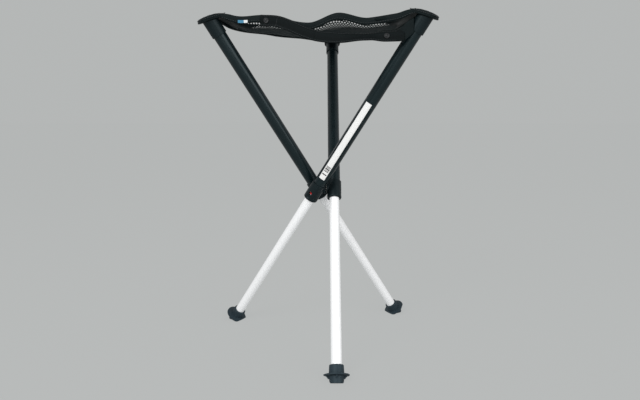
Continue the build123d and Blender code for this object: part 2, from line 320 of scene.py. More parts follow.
class StoolColours(bpy.types.PropertyGroup):
    """Colours of the finishes, linear."""

    def colour(name, description, value):
        return FloatVectorProperty(
            name=name, description=description, subtype="COLOR", size=3, default=value, min=0.0, max=1.0
        )

    tube: colour("Upper tube", "Black anodised upper tubes", (0.0038, 0.0085, 0.0100))
    silver: colour("Lower tube", "Silver anodised lower tubes", (0.93, 0.935, 0.945))
    moulded: colour("Moulded parts", "Black moulded sleeves, collars and caps", (0.0045, 0.0085, 0.0100))
    nylon: colour("Bushes", "Natural nylon bushes and washers", (0.62, 0.60, 0.55))
    steel: colour("Steel", "Pins, springs and discs", (0.56, 0.56, 0.57))
    dark_steel: colour("Dark steel", "Black plated rivets and snaps", (0.010, 0.011, 0.012))
    rubber: colour("Feet", "Slate rubber feet", (0.0165, 0.0265, 0.0340))
    button: colour("Lock button", "Red push buttons", (0.62, 0.012, 0.012))
    cloth: colour("Leatherette", "Coated cloth of hems and pockets", (0.0030, 0.0080, 0.0088))
    net: colour("Seat net", "Open net of the seat panel", (0.0050, 0.0095, 0.0105))
    webbing: colour("Webbing", "Strap webbing", (0.0040, 0.0070, 0.0076))
    thread: colour("Thread", "Sewing thread", (0.022, 0.026, 0.028))
    label: colour("Label", "Plain label on a tube", (0.82, 0.82, 0.81))
    tag_pale: colour("Tag, pale half", "Pale half of the sewn tag", (0.70, 0.72, 0.72))
    tag_blue: colour("Tag, blue half", "Blue half of the sewn tag", (0.05, 0.22, 0.36))
    stage: colour("Stage", "Floor and backdrop", (0.480, 0.494, 0.490))


class StoolSizes(bpy.types.PropertyGroup):
    """Sizes of the dressed pieces."""

    def length(name, description, value):
        return FloatProperty(
            name=name, description=description, default=value, min=0.0, unit="LENGTH", precision=5
        )

    sag: length("Seat sag", "How far the middle of the seat hangs below its corners", 0.020)
    pouch: length("Net pouch", "How far the net hangs below the front hem", 0.013)
    net_pitch: length("Net pitch", "Distance between the net's holes", 0.0050)
    net_strand: length("Net strand", "Width of a strand of the net", 0.0020)
    net_thick: length("Net thickness", "Thickness of the net", 0.0006)
    hem_thick: length("Hem thickness", "Thickness of the rolled hem", 0.0062)
    front_hem: length("Front hem height", "Height of the front hem", 0.0125)
    rear_hem: length("Rear hem height", "Height of the rear hems", 0.0100)
    stitch: length("Stitch length", "Length of one stitch", 0.0030)
    stitch_pitch: length("Stitch pitch", "Distance from one stitch to the next", 0.0043)
    strap_wide: length("Strap width", "Width of the webbing strap", 0.0200)
    strap_thick: length("Strap thickness", "Thickness of the webbing strap", 0.0018)
    pocket_lap: length("Pocket lap", "How far a pocket laps over the ends of the hems", 0.014)
    pocket_swell: length("Pocket swell", "How far a pocket swells beyond its solid at the sides", 0.0015)
    pocket_dome: length("Pocket dome", "How far a pocket stands up over the hems' ends", 0.0015)
    pocket_dip: length("Pocket dip", "How far a pocket's top falls towards the seat", 0.0030)
    gusset: length("Corner patch", "How far the corner patches reach from the pockets", 0.062)
    gusset_thick: length("Patch thickness", "Thickness of a corner patch, both layers", 0.0032)
    label_wide: length("Label width", "Width of the label on the tube", 0.0130)
    label_low: length("Label start", "Lower end of the label above the pivot", 0.030)
    label_high: length("Label end", "Upper end of the label above the pivot", 0.210)
    camera_back: length("Camera distance", "Camera's distance in front of the hub", 1.120)
    camera_high: length("Camera height", "Camera's height above the floor", 0.464)
    camera_tilt: FloatProperty(
        name="Camera tilt",
        description="How far the camera looks down",
        default=math.radians(8.77),
        subtype="ANGLE",
    )


def add_node(tree, kind, **values):
    """A shader node with its attributes and socket values set."""
    node = tree.nodes.new(kind)
    for key, value in values.items():
        if hasattr(node, key) and key not in node.inputs:
            setattr(node, key, value)
        else:
            node.inputs[key.replace("_", " ")].default_value = value
    return node


def new_group(name, inputs, outputs):
    """An empty shader group with float or colour sockets."""
    tree = bpy.data.node_groups.new(name, "ShaderNodeTree")
    for label, value in inputs:
        kind = "NodeSocketColor" if isinstance(value, tuple) else "NodeSocketFloat"
        socket = tree.interface.new_socket(label, in_out="INPUT", socket_type=kind)
        socket.default_value = value
    for label, kind in outputs:
        tree.interface.new_socket(label, in_out="OUTPUT", socket_type=kind)
    return tree, tree.nodes.new("NodeGroupInput"), tree.nodes.new("NodeGroupOutput")


def object_noise(tree, scale_from, factor, detail):
    """Noise over the object's own coordinates, its scale taken from a socket times a factor."""
    place = tree.nodes.new("ShaderNodeTexCoord")
    times = add_node(tree, "ShaderNodeMath", operation="MULTIPLY")
    times.inputs[1].default_value = factor
    noise = add_node(tree, "ShaderNodeTexNoise", Detail=detail)
    tree.links.new(scale_from, times.inputs[0])
    tree.links.new(times.outputs[0], noise.inputs["Scale"])
    tree.links.new(place.outputs["Object"], noise.inputs["Vector"])
    return noise.outputs["Fac"]


def mixed(tree, fac, first, second, blend="MIX"):
    """A colour mix of two sockets."""
    mix = add_node(tree, "ShaderNodeMix", data_type="RGBA", blend_type=blend)
    tree.links.new(fac, mix.inputs["Factor"])
    tree.links.new(first, mix.inputs[6])
    tree.links.new(second, mix.inputs[7])
    return mix.outputs[2]


def ranged(tree, value, low, high, to_low=0.0, to_high=1.0):
    """A value mapped from one range to another."""
    node = add_node(tree, "ShaderNodeMapRange")
    for place, number in zip((1, 2, 3, 4), (low, high, to_low, to_high)):
        node.inputs[place].default_value = number
    tree.links.new(value, node.inputs[0])
    return node.outputs[0]


def make_grain_group():
    """Fine surface grain: a colour that wanders a little, a roughness in a range and a height."""
    tree, given, out = new_group(
        "Surface Grain",
        (
            ("Color", (0.5, 0.5, 0.5, 1.0)),
            ("Other Color", (0.5, 0.5, 0.5, 1.0)),
            ("Scale", 900.0),
            ("Low", 0.3),
            ("High", 0.5),
        ),
        (("Color", "NodeSocketColor"), ("Roughness", "NodeSocketFloat"), ("Height", "NodeSocketFloat")),
    )
    broad = object_noise(tree, given.outputs["Scale"], 0.03, 3.0)
    fine = object_noise(tree, given.outputs["Scale"], 1.0, 2.0)
    tone = mixed(tree, ranged(tree, broad, 0.35, 0.65), given.outputs["Color"], given.outputs["Other Color"])
    spread = add_node(tree, "ShaderNodeMapRange")
    tree.links.new(broad, spread.inputs[0])
    spread.inputs[1].default_value = 0.3
    spread.inputs[2].default_value = 0.7
    tree.links.new(given.outputs["Low"], spread.inputs[3])
    tree.links.new(given.outputs["High"], spread.inputs[4])
    tree.links.new(tone, out.inputs["Color"])
    tree.links.new(spread.outputs[0], out.inputs["Roughness"])
    tree.links.new(fine, out.inputs["Height"])
    return tree


def make_leather_group():
    """Pebbled coated cloth: cells between fine creases, with a tone darkened in the creases as painted shade,
    and a height.
    """
    tree, given, out = new_group(
        "Pebbled Cloth",
        (("Color", (0.02, 0.02, 0.02, 1.0)), ("Painted Crease Shade", (0.01, 0.01, 0.01, 1.0)), ("Scale", 900.0)),
        (("Color", "NodeSocketColor"), ("Roughness", "NodeSocketFloat"), ("Height", "NodeSocketFloat")),
    )
    place = tree.nodes.new("ShaderNodeTexCoord")
    cells = add_node(tree, "ShaderNodeTexVoronoi", feature="DISTANCE_TO_EDGE")
    tree.links.new(place.outputs["Object"], cells.inputs["Vector"])
    tree.links.new(given.outputs["Scale"], cells.inputs["Scale"])
    pebble = ranged(tree, cells.outputs["Distance"], 0.0, 0.22)
    broad = object_noise(tree, given.outputs["Scale"], 0.05, 3.0)
    # Painted shade: the colour darkens towards the creases between the pebbles
    tone = mixed(tree, pebble, given.outputs["Painted Crease Shade"], given.outputs["Color"])
    tree.links.new(tone, out.inputs["Color"])
    tree.links.new(ranged(tree, broad, 0.3, 0.7, 0.42, 0.6), out.inputs["Roughness"])
    tree.links.new(pebble, out.inputs["Height"])
    return tree


def make_weave_group():
    """Herringbone webbing from the strap's own UV: ribs across the strap that slant in turns, with painted
    shade darkening the low gaps between them.
    """
    tree, given, out = new_group(
        "Webbing Weave",
        (
            ("Color", (0.02, 0.02, 0.02, 1.0)),
            ("Painted Gap Shade", (0.005, 0.005, 0.005, 1.0)),
            ("Ribs", 10.0),
            ("Picks", 700.0),
        ),
        (("Color", "NodeSocketColor"), ("Height", "NodeSocketFloat")),
    )
    place = tree.nodes.new("ShaderNodeTexCoord")
    parts = tree.nodes.new("ShaderNodeSeparateXYZ")
    tree.links.new(place.outputs["UV"], parts.inputs[0])

    def math_node(operation, first, second=None):
        node = add_node(tree, "ShaderNodeMath", operation=operation)
        for place_in, value in zip((0, 1), (first, second)):
            if isinstance(value, (int, float)):
                node.inputs[place_in].default_value = value
            elif value is not None:
                tree.links.new(value, node.inputs[place_in])
        return node.outputs[0]

    across = math_node("MULTIPLY", parts.outputs["Y"], given.outputs["Ribs"])
    zigzag = math_node("PINGPONG", across, 1.0)
    along = math_node("ADD", math_node("MULTIPLY", parts.outputs["X"], given.outputs["Picks"]), zigzag)
    pick = math_node("SINE", math_node("MULTIPLY", along, 2 * math.pi))
    rib = math_node("SINE", math_node("MULTIPLY", across, 2 * math.pi))
    height = math_node("ADD", math_node("MULTIPLY", pick, 0.3), math_node("MULTIPLY", rib, 0.2))
    height = math_node("ADD", height, 0.5)
    # Painted shade: the colour darkens where the weave's height is low, in the gaps
    tone = mixed(tree, height, given.outputs["Painted Gap Shade"], given.outputs["Color"])
    tree.links.new(tone, out.inputs["Color"])
    tree.links.new(height, out.inputs["Height"])
    return tree


def rgba(colour, factor=1.0):
    """A linear colour as four numbers, made lighter or darker by a factor."""
    return tuple(min(1.0, c * factor) for c in colour) + (1.0,)


def new_material(name, **values):
    """A material with one Principled shader, its sockets set to the given values."""
    material = bpy.data.materials.new("stool_" + name)
    material.use_nodes = True
    tree = material.node_tree
    shader = tree.nodes["Principled BSDF"]
    for key, value in values.items():
        shader.inputs[key.replace("_", " ")].default_value = value
    return material, tree, shader


def bumped(tree, shader, height, depth, strength=0.6):
    """Feeds a height to the shader's normal through a bump of real depth."""
    bump = add_node(tree, "ShaderNodeBump", Strength=strength, Distance=depth)
    tree.links.new(height, bump.inputs["Height"])
    tree.links.new(bump.outputs["Normal"], shader.inputs["Normal"])


def grained(name, colour, spread, scale, low, high, depth, **values):
    """A material whose colour, roughness and bump come from the surface grain."""
    material, tree, shader = new_material(name, **values)
    grain = add_node(tree, "ShaderNodeGroup", node_tree=bpy.data.node_groups["Surface Grain"])
    grain.inputs["Color"].default_value = rgba(colour)
    grain.inputs["Other Color"].default_value = rgba(colour, spread)
    grain.inputs["Scale"].default_value = scale
    grain.inputs["Low"].default_value = low
    grain.inputs["High"].default_value = high
    tree.links.new(grain.outputs["Color"], shader.inputs["Base Color"])
    tree.links.new(grain.outputs["Roughness"], shader.inputs["Roughness"])
    bumped(tree, shader, grain.outputs["Height"], depth)
    return material


def pebbled(name, colour, scale, depth):
    """Coated cloth with a pebbled grain, its creases darkened with painted shade."""
    material, tree, shader = new_material(name)
    shader.inputs["Specular IOR Level"].default_value = 0.1
    grain = add_node(tree, "ShaderNodeGroup", node_tree=bpy.data.node_groups["Pebbled Cloth"])
    grain.inputs["Color"].default_value = rgba(colour)
    # Painted shade: the creases take the cloth's colour darkened to 0.55
    grain.inputs["Painted Crease Shade"].default_value = rgba(colour, 0.55)
    grain.inputs["Scale"].default_value = scale
    tree.links.new(grain.outputs["Color"], shader.inputs["Base Color"])
    tree.links.new(grain.outputs["Roughness"], shader.inputs["Roughness"])
    bumped(tree, shader, grain.outputs["Height"], depth)
    return material


def woven(name, colour):
    """Strap webbing, the low gaps of its weave darkened with painted shade."""
    material, tree, shader = new_material(name, Roughness=0.72)
    shader.inputs["Specular IOR Level"].default_value = 0.1
    weave = add_node(tree, "ShaderNodeGroup", node_tree=bpy.data.node_groups["Webbing Weave"])
    weave.inputs["Color"].default_value = rgba(colour)
    # Painted shade: the gaps take the webbing's colour darkened to 0.45
    weave.inputs["Painted Gap Shade"].default_value = rgba(colour, 0.45)
    tree.links.new(weave.outputs["Color"], shader.inputs["Base Color"])
    bumped(tree, shader, weave.outputs["Height"], 0.0004)
    return material


def make_materials():
    """Every finish of the stool, by name."""
    colours = bpy.context.scene.stool_colours
    make_grain_group()
    make_leather_group()
    make_weave_group()
    satin = {"Specular_IOR_Level": 0.3, "Specular_Tint": COOL}
    matt = {"Specular_IOR_Level": 0.2, "Specular_Tint": COOL}
    soft = {"Specular_IOR_Level": 0.25, "Specular_Tint": COOL}
    grained("tube_black", colours.tube, 1.25, 1400.0, 0.22, 0.30, 0.00001, **satin)
    grained("tube_silver", colours.silver, 0.985, 1800.0, 0.36, 0.44, 0.00001, Metallic=0.12)
    grained("moulded_black", colours.moulded, 1.2, 1600.0, 0.36, 0.46, 0.00004, **matt)
    grained("nylon", colours.nylon, 0.93, 900.0, 0.38, 0.5, 0.00005)
    grained("steel", colours.steel, 0.92, 1500.0, 0.25, 0.36, 0.00002, Metallic=1.0)
    grained("steel_dark", colours.dark_steel, 1.3, 1500.0, 0.3, 0.42, 0.00002, Metallic=0.6)
    grained("foot_rubber", colours.rubber, 1.3, 900.0, 0.45, 0.6, 0.00008, **soft)
    grained("button_red", colours.button, 0.9, 1500.0, 0.25, 0.32, 0.00002)
    grained("seat_net", colours.net, 1.35, 1500.0, 0.55, 0.7, 0.00005, Specular_IOR_Level=0.1)
    grained("thread", colours.thread, 1.2, 3000.0, 0.5, 0.62, 0.0001)
    grained("label_white", colours.label, 0.99, 700.0, 0.4, 0.5, 0.00002)
    grained("label_bar", colours.dark_steel, 1.1, 700.0, 0.4, 0.5, 0.00002)
    grained("tag_pale", colours.tag_pale, 0.9, 2500.0, 0.6, 0.75, 0.00008)
    grained("tag_blue", colours.tag_blue, 0.85, 2500.0, 0.6, 0.75, 0.00008)
    pebbled("leatherette", colours.cloth, 1100.0, 0.00012)
    woven("webbing", colours.webbing)


def give(obj, *names):
    """Puts finishes on an object, in slot order."""
    slots = obj.data.materials
    for place, name in enumerate(names):
        material = bpy.data.materials["stool_" + name]
        if place < len(slots):
            slots[place] = material
        else:
            slots.append(material)


def new_piece(name, bm, *materials, smooth=True):
    """A mesh object from a bmesh, linked and finished."""
    mesh = bpy.data.meshes.new(name)
    for face in bm.faces:
        face.smooth = smooth
    bm.to_mesh(mesh)
    bm.free()
    obj = bpy.data.objects.new(name, mesh)
    bpy.context.scene.collection.objects.link(obj)
    give(obj, *materials)
    return obj


def loft(bm, rings, closed=True, caps=True, material=0, uv_rows=None):
    """Quads between rings of points; closed rings wrap round, caps fill the two ends."""
    rows = [[bm.verts.new(p) for p in ring] for ring in rings]
    layer = bm.loops.layers.uv.verify()
    count = len(rows[0])
    span = count if closed else count - 1
    for k, (low, high) in enumerate(zip(rows, rows[1:])):
        for i in range(span):
            j = (i + 1) % count
            face = bm.faces.new((low[i], low[j], high[j], high[i]))
            face.material_index = material
            if uv_rows:
                corners = ((k, i), (k, i + 1), (k + 1, i + 1), (k + 1, i))
                for loop, (row, column) in zip(face.loops, corners):
                    loop[layer].uv = (uv_rows[row], column / span)
    if caps and closed:
        for ring in (list(reversed(rows[0])), rows[-1]):
            face = bm.faces.new(ring)
            face.material_index = material
    return rows


def rounded(turn, square):
    """A point of a rounded square of half width 1, at a turn round it."""
    c, s = math.cos(turn), math.sin(turn)
    return math.copysign(abs(c) ** square, c), math.copysign(abs(s) ** square, s)


def band_section(thick, tall, count, square=0.62):
    """A rounded band's section as (out, up) pairs."""
    section = []
    for i in range(count):
        turn = 2 * math.pi * i / count
        out, up = rounded(turn, square)
        section.append((out * thick / 2, up * tall / 2))
    return section


def add_stitch(bm, centre, along, normal, length, wide, material):
    """One stitch: a thread that dives into the cloth at both ends."""
    side = normal.cross(along).normalized()
    rings = []
    for k, rise, swell in STITCH_PROFILE:
        middle = centre + along * (k * length) + normal * (rise * wide)
        ring = []
        for i in range(6):
            turn = 2 * math.pi * i / 6
            ring.append(middle + (side * math.cos(turn) + normal * math.sin(turn)) * (swell * wide / 2))
        rings.append(ring)
    loft(bm, rings, material=material)


def stitch_row(bm, points, normals, length, pitch, wide, material):
    """Stitches evenly spaced along a line of points, each lying on the cloth's face."""
    travelled = [0.0]
    for a, b in zip(points, points[1:]):
        travelled.append(travelled[-1] + (b - a).length)
    count = int(travelled[-1] / pitch)
    for k in range(count):
        place = (k + 0.5) * travelled[-1] / count
        i = max(j for j, t in enumerate(travelled[:-1]) if t <= place)
        share = (place - travelled[i]) / max(1e-9, travelled[i + 1] - travelled[i])
        along = (points[i + 1] - points[i]).normalized()
        normal = normals[i].lerp(normals[i + 1], share)
        normal = (normal - along * normal.dot(along)).normalized()
        add_stitch(bm, points[i].lerp(points[i + 1], share), along, normal, length, wide, material)


class Seat:
    """The sewn seat's plan, its three long edges and the thirds that its cloth folds in."""

    def __init__(self, sizes):
        self.plan = SeatPlan(sizes.sag)
        self.front = SeatEdge(self.plan, "left", "right", FRONT_WAVE)
        self.right = SeatEdge(self.plan, "right", "rear", RIGHT_WAVE)
        self.left = SeatEdge(self.plan, "rear", "left", LEFT_WAVE)
        self.pouch_deep = sizes.pouch

    def corner(self, side):
        """Middle of a corner's short edge, at the panel's level there."""
        a, b = self.plan.corners[side]
        middle = (a + b) / 2
        return Vector((middle.x, middle.y, self.plan.corner_z))

    def level(self, point):
        """The dressed panel's level over a point."""
        lift = sum(edge.lift(point, WAVE_REACH) for edge in (self.front, self.right, self.left))
        return self.plan.sag_level(point) + lift - self.front.pouch(point, self.pouch_deep)

    def sector_angle(self, side):
        """Direction of a corner from the hub."""
        step = self.corner(side) - HUB
        return math.atan2(step.y, step.x)

    def cut(self, bm, side, closed=True):
        """What is left of a copy of a bmesh in one corner's third of the seat, its cut ends closed or not."""
        piece = bm.copy()
        for sign in (1, -1):
            turn = self.sector_angle(side) + sign * math.pi / len(SIDES)
            normal = Vector((-math.sin(turn), math.cos(turn), 0.0)) * sign
            everything = piece.verts[:] + piece.edges[:] + piece.faces[:]
            done = bmesh.ops.bisect_plane(
                piece, geom=everything, dist=1e-7, plane_co=HUB, plane_no=normal, clear_outer=True
            )
            edges = [e for e in done["geom_cut"] if isinstance(e, bmesh.types.BMEdge) and e.is_boundary]
            if edges and closed:
                bmesh.ops.holes_fill(piece, edges=edges, sides=64)
        return piece

    def fold(self, obj):
        """Bakes a third of the seat's placement into its mesh."""
        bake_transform(obj)

    def dress(self, name, bm, materials, replaced, slot, closed=True):
        """Cuts a bmesh in thirds and makes each a piece, hiding the solids it replaces."""
        made = {}
        for side in SIDES:
            piece = self.cut(bm, side, closed)
            if not piece.faces:
                piece.free()
                continue
            obj = new_piece(f"{name}_{side}", piece, *materials, smooth=closed)
            self.fold(obj)
            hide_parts(*replaced)
            made[side] = obj
        bm.free()
        return made


def flat_panel(seat):
    """The panel's outline as one flat face."""
    bm = bmesh.new()
    bm.faces.new([bm.verts.new((p.x, p.y, 0.0)) for p in seat.plan.outline()])
    return bm


def net_cells(seat, pitch):
    """A flat honeycomb over the panel, every cell that has its middle inside the outline."""
    outline = [p.xy for p in seat.plan.outline()]
    reach = seat.plan.corner_r + pitch
    radius = pitch / math.sqrt(3)
    bm = bmesh.new()
    known = {}

    def vertex(x, y):
        key = (round(x / radius * 8), round(y / radius * 8))
        if key not in known:
            known[key] = bm.verts.new((x, y, 0.0))
        return known[key]

    def inside(x, y):
        return all(
            (b.x - a.x) * (y - a.y) - (b.y - a.y) * (x - a.x) > 0.0
            for a, b in zip(outline, outline[1:] + outline[:1])
        )

    rows = int(reach / (1.5 * radius)) + 1
    columns = int(reach / pitch) + 1
    for row in range(-rows, rows + 1):
        for column in range(-columns, columns + 1):
            x = HUB.x + (column + 0.5 * (row % 2)) * pitch
            y = HUB.y + row * 1.5 * radius
            if inside(x, y):
                turns = [math.radians(60 * i + 30) for i in range(6)]
                bm.faces.new([vertex(x + radius * math.cos(t), y + radius * math.sin(t)) for t in turns])
    return bm


class STOOL_OT_finish_frame(bpy.types.Operator):
    """Put the finishes on every solid of the frame"""

    bl_idname = "stool.finish_frame"
    bl_label = "Finish the frame"

    def execute(self, context):
        for name, node in frame["nodes"].items():
            finish = next(f for start, f in FINISHES.items() if name.startswith(start))
            give(node, finish)
        return {"FINISHED"}


class STOOL_OT_sew_net(bpy.types.Operator):
    """Knit the open net of the seat panel"""

    bl_idname = "stool.sew_net"
    bl_label = "Sew the seat net"

    def execute(self, context):
        sizes = context.scene.stool_sizes
        seat = Seat(sizes)
        bm = net_cells(seat, sizes.net_pitch)
        bm.normal_update()
        strand = sizes.net_strand / 2
        bmesh.ops.inset_individual(bm, faces=bm.faces[:], thickness=strand, use_even_offset=True)
        holes = [face for face in bm.faces if len(face.verts) == 6]
        bmesh.ops.delete(bm, geom=holes, context="FACES")
        for vertex in bm.verts:
            vertex.co.z = seat.level(vertex.co)
        pieces = seat.dress("seat_net", bm, ("seat_net",), ("seat_mesh",), "seat_net", closed=False)
        panel = flat_panel(seat)
        for side, piece in pieces.items():
            knit = piece.modifiers.new("Knit", "SOLIDIFY")
            knit.thickness = sizes.net_thick
            knit.offset = 0.0
            flat = seat.cut(panel, side, closed=False)
            area = sum(face.calc_area() for face in flat.faces)
            flat.free()
        panel.free()
        return {"FINISHED"}


class STOOL_OT_sew_hems(bpy.types.Operator):
    """Roll and stitch the hems along the seat's three long edges"""

    bl_idname = "stool.sew_hems"
    bl_label = "Sew the hems"

    def execute(self, context):
        sizes = context.scene.stool_sizes
        seat = Seat(sizes)
        steps = HEM_STEPS
        for name, edge, tall in (
            ("hem_front", seat.front, sizes.front_hem),
            ("hem_right", seat.right, sizes.rear_hem),
            ("hem_left", seat.left, sizes.rear_hem),
        ):
            section = band_section(sizes.hem_thick, tall, 28)
            chance = random.Random(name)
            ripple = [chance.uniform(0.0, 2 * math.pi) for _ in range(3)]
            rings = []
            upper = []
            normals = []
            for i in range(steps + 1):
                s = edge.first + (edge.last - edge.first) * i / steps
                centre = edge.point(s, sizes.hem_thick / 2)
                pucker = 1.0
                for (size, rate), start in zip(HEM_PUCKER, ripple):
                    pucker += size * math.sin(s * rate + start)
                roll = HEM_ROLL[0] * math.sin(s * HEM_ROLL[1] + ripple[2])
                out = edge.outward * math.cos(roll) + UP * math.sin(roll)
                up = UP * math.cos(roll) - edge.outward * math.sin(roll)
                inset = min(i, steps - i) * (edge.last - edge.first) / steps
                slim = HEM_END_SHARE + (1 - HEM_END_SHARE) * ease(inset / HEM_END)
                rings.append([centre + out * (o * pucker) + up * (u * slim) for o, u in section])
                upper.append(centre + out * (sizes.hem_thick / 2 * pucker) - up * (tall * HEM_ROW))
                normals.append(out)
            bm = bmesh.new()
            loft(bm, rings)
            stitch_row(bm, upper, normals, sizes.stitch, sizes.stitch_pitch, THREAD_WIDE, 1)
            bmesh.ops.recalc_face_normals(bm, faces=bm.faces[:])
            seat.dress(name, bm, ("leatherette", "thread"), ("seat_" + name,), "leatherette")
        return {"FINISHED"}


class STOOL_OT_hang_strap(bpy.types.Operator):
    """Hang the carrying strap with its snaps below the front hem"""

    bl_idname = "stool.hang_strap"
    bl_label = "Hang the strap"

    def execute(self, context):
        sizes = context.scene.stool_sizes
        seat = Seat(sizes)
        edge = seat.front
        middle_level = seat.plan.sag_level(HUB + edge.along * edge.middle + edge.outward * edge.out)
        steps = 120
        line = []
        first, last = STRAP_LINE[0][0], STRAP_LINE[-1][0]
        places = [first + (last - first) * i / steps for i in range(steps + 1)]
        for i, k in enumerate(places):
            bow = STRAP_BOW * math.sin(math.pi * i / steps) ** 2
            out = edge.out + sizes.hem_thick + STRAP_GAP + bow
            flat = HUB + edge.along * (edge.middle + k * edge.half) + edge.outward * out
            line.append(Vector((flat.x, flat.y, middle_level + soft_spline(STRAP_LINE, k))))
        bm = bmesh.new()
        rings = []
        travelled = [0.0]
        faces = []
        section = band_section(sizes.strap_thick, sizes.strap_wide, 32, 0.45)
        for i, point in enumerate(line):
            ahead = line[min(i + 1, steps)]
            behind = line[max(i - 1, 0)]
            along = (ahead - behind).normalized()
            across = edge.outward.cross(along).normalized()
            k = places[i]
            twist = ease((k - STRAP_TWIST[0]) / STRAP_TWIST_IN) * ease((STRAP_TWIST[1] - k) / STRAP_TWIST_OUT)
            lean = math.radians(10) * math.sin(math.pi * i / steps) + math.radians(40) * twist
            out = edge.outward * math.cos(lean) + across * math.sin(lean)
            wide = across * math.cos(lean) - edge.outward * math.sin(lean)
            left = (places[-1] - k) * edge.half
            tip = 1.0
            if left < STRAP_TIP:
                tip = math.sqrt(1 - (1 - min(1.0, 0.08 + left / STRAP_TIP_ROUND)) ** 2)
            rings.append([point + out * o + wide * (u * tip) for o, u in section])
            faces.append((point, along, out, wide))
            if i:
                travelled.append(travelled[-1] + (point - line[i - 1]).length)
        loft(bm, rings, uv_rows=travelled)
        raised = sizes.strap_thick / 2
        sewn = faces[:-6]
        for sign in (1, -1):
            shift = sign * sizes.strap_wide * STRAP_ROW
            row = [point + wide * shift + out * raised for point, along, out, wide in sewn]
            normals = [out for point, along, out, wide in sewn]
            stitch_row(bm, row, normals, sizes.stitch, sizes.stitch_pitch, STRAP_THREAD_WIDE, 1)
        for i in STRAP_BARS:
            point, along, out, wide = faces[i]
            shares = [(j / (BAR_STITCHES - 1) - 0.5) * BAR_REACH for j in range(BAR_STITCHES)]
            row = [point + wide * (sizes.strap_wide * share) + out * raised for share in shares]
            length = sizes.stitch * BAR_STITCH
            pitch = sizes.stitch_pitch * BAR_STITCH
            stitch_row(bm, row, [out] * BAR_STITCHES, length, pitch, STRAP_THREAD_WIDE, 1)
        bmesh.ops.recalc_face_normals(bm, faces=bm.faces[:])
        seat.dress("carry_strap_web", bm, ("webbing", "thread"), ("carry_strap",), "webbing")
        self.snap(seat, "snap_cap_left", "strap_snap_left", faces, sizes)
        self.snap(seat, "snap_cap_right", "strap_snap_right", faces, sizes)
        self.tab(seat, edge, sizes)
        self.web(seat, edge, middle_level, sizes)
        return {"FINISHED"}

    def snap(self, seat, name, node, faces, sizes):
        """A domed snap cap where its solid stands, flat on the strap."""
        low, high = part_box(node)
        solid = (Vector(low) + Vector(high)) / 2
        wide = (high[2] - low[2]) / 2
        point, side, outward, up = min(faces, key=lambda face: abs((face[0] - solid).dot(seat.front.along)))
        centre = point + outward * (sizes.strap_thick / 2 + SNAP_SINK)
        turns = [2 * math.pi * i / 32 for i in range(32)]
        rings = []
        for out, share in SNAP_PROFILE:
            middle = centre + outward * out
            rings.append([middle + (side * math.cos(t) + up * math.sin(t)) * (wide * share) for t in turns])
        bm = bmesh.new()
        loft(bm, rings)
        bmesh.ops.recalc_face_normals(bm, faces=bm.faces[:])
        seat.dress(name, bm, ("steel_dark",), (node,), "steel_dark")

    def tab(self, seat, edge, sizes):
        """The cloth tab that ties the strap's right end to the hem."""
        low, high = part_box("strap_tab")
        centre = (Vector(low) + Vector(high)) / 2
        half = (Vector(high) - Vector(low)).dot(Vector((abs(edge.along.x), abs(edge.along.y), 0.0))) / 2
        rings = []
        for i in range(17):
            k = i / 8 - 1
            tall = (high[2] - low[2]) * (0.82 + 0.18 * k * k)
            middle = centre + edge.along * (k * half)
            section = band_section(TAB_THICK, tall, 24, 0.4)
            rings.append([middle + edge.outward * o + UP * u for o, u in section])
        bm = bmesh.new()
        loft(bm, rings)
        bmesh.ops.recalc_face_normals(bm, faces=bm.faces[:])
        seat.dress("strap_tab_cloth", bm, ("leatherette",), ("strap_tab",), "leatherette")


    def web(self, seat, edge, level, sizes):
        """The cloth that ties the strap's right end up to the corner."""
        rings = []
        for i in range(25):
            k = WEB_TOP[0][0] + (WEB_TOP[-1][0] - WEB_TOP[0][0]) * i / 24
            top = soft_spline(WEB_TOP, k)
            low = soft_spline(WEB_LOW, k)
            out = edge.out + sizes.hem_thick * 0.55
            flat = HUB + edge.along * (edge.middle + k * edge.half) + edge.outward * out
            middle = Vector((flat.x, flat.y, level + (top + low) / 2))
            section = band_section(WEB_THICK, top - low, 24, 0.4)
            rings.append([middle + edge.outward * o + UP * u for o, u in section])
        bm = bmesh.new()
        loft(bm, rings)
        bmesh.ops.recalc_face_normals(bm, faces=bm.faces[:])
        seat.dress("strap_web_cloth", bm, ("leatherette",), (), "leatherette")


def soft_spline(points, k):
    """Value at k of a curve through (place, value) points that keeps its slope at each."""
    places = [p[0] for p in points]
    values = [p[1] for p in points]
    slopes = np.gradient(values, places)
    for i in range(len(points) - 1):
        if k <= places[i + 1] or i == len(points) - 2:
            wide = places[i + 1] - places[i]
            t = (k - places[i]) / wide
            start = (2 * t**3 - 3 * t**2 + 1) * values[i] + (t**3 - 2 * t**2 + t) * wide * slopes[i]
            return float(start + (3 * t**2 - 2 * t**3) * values[i + 1] + (t**3 - t**2) * wide * slopes[i + 1])


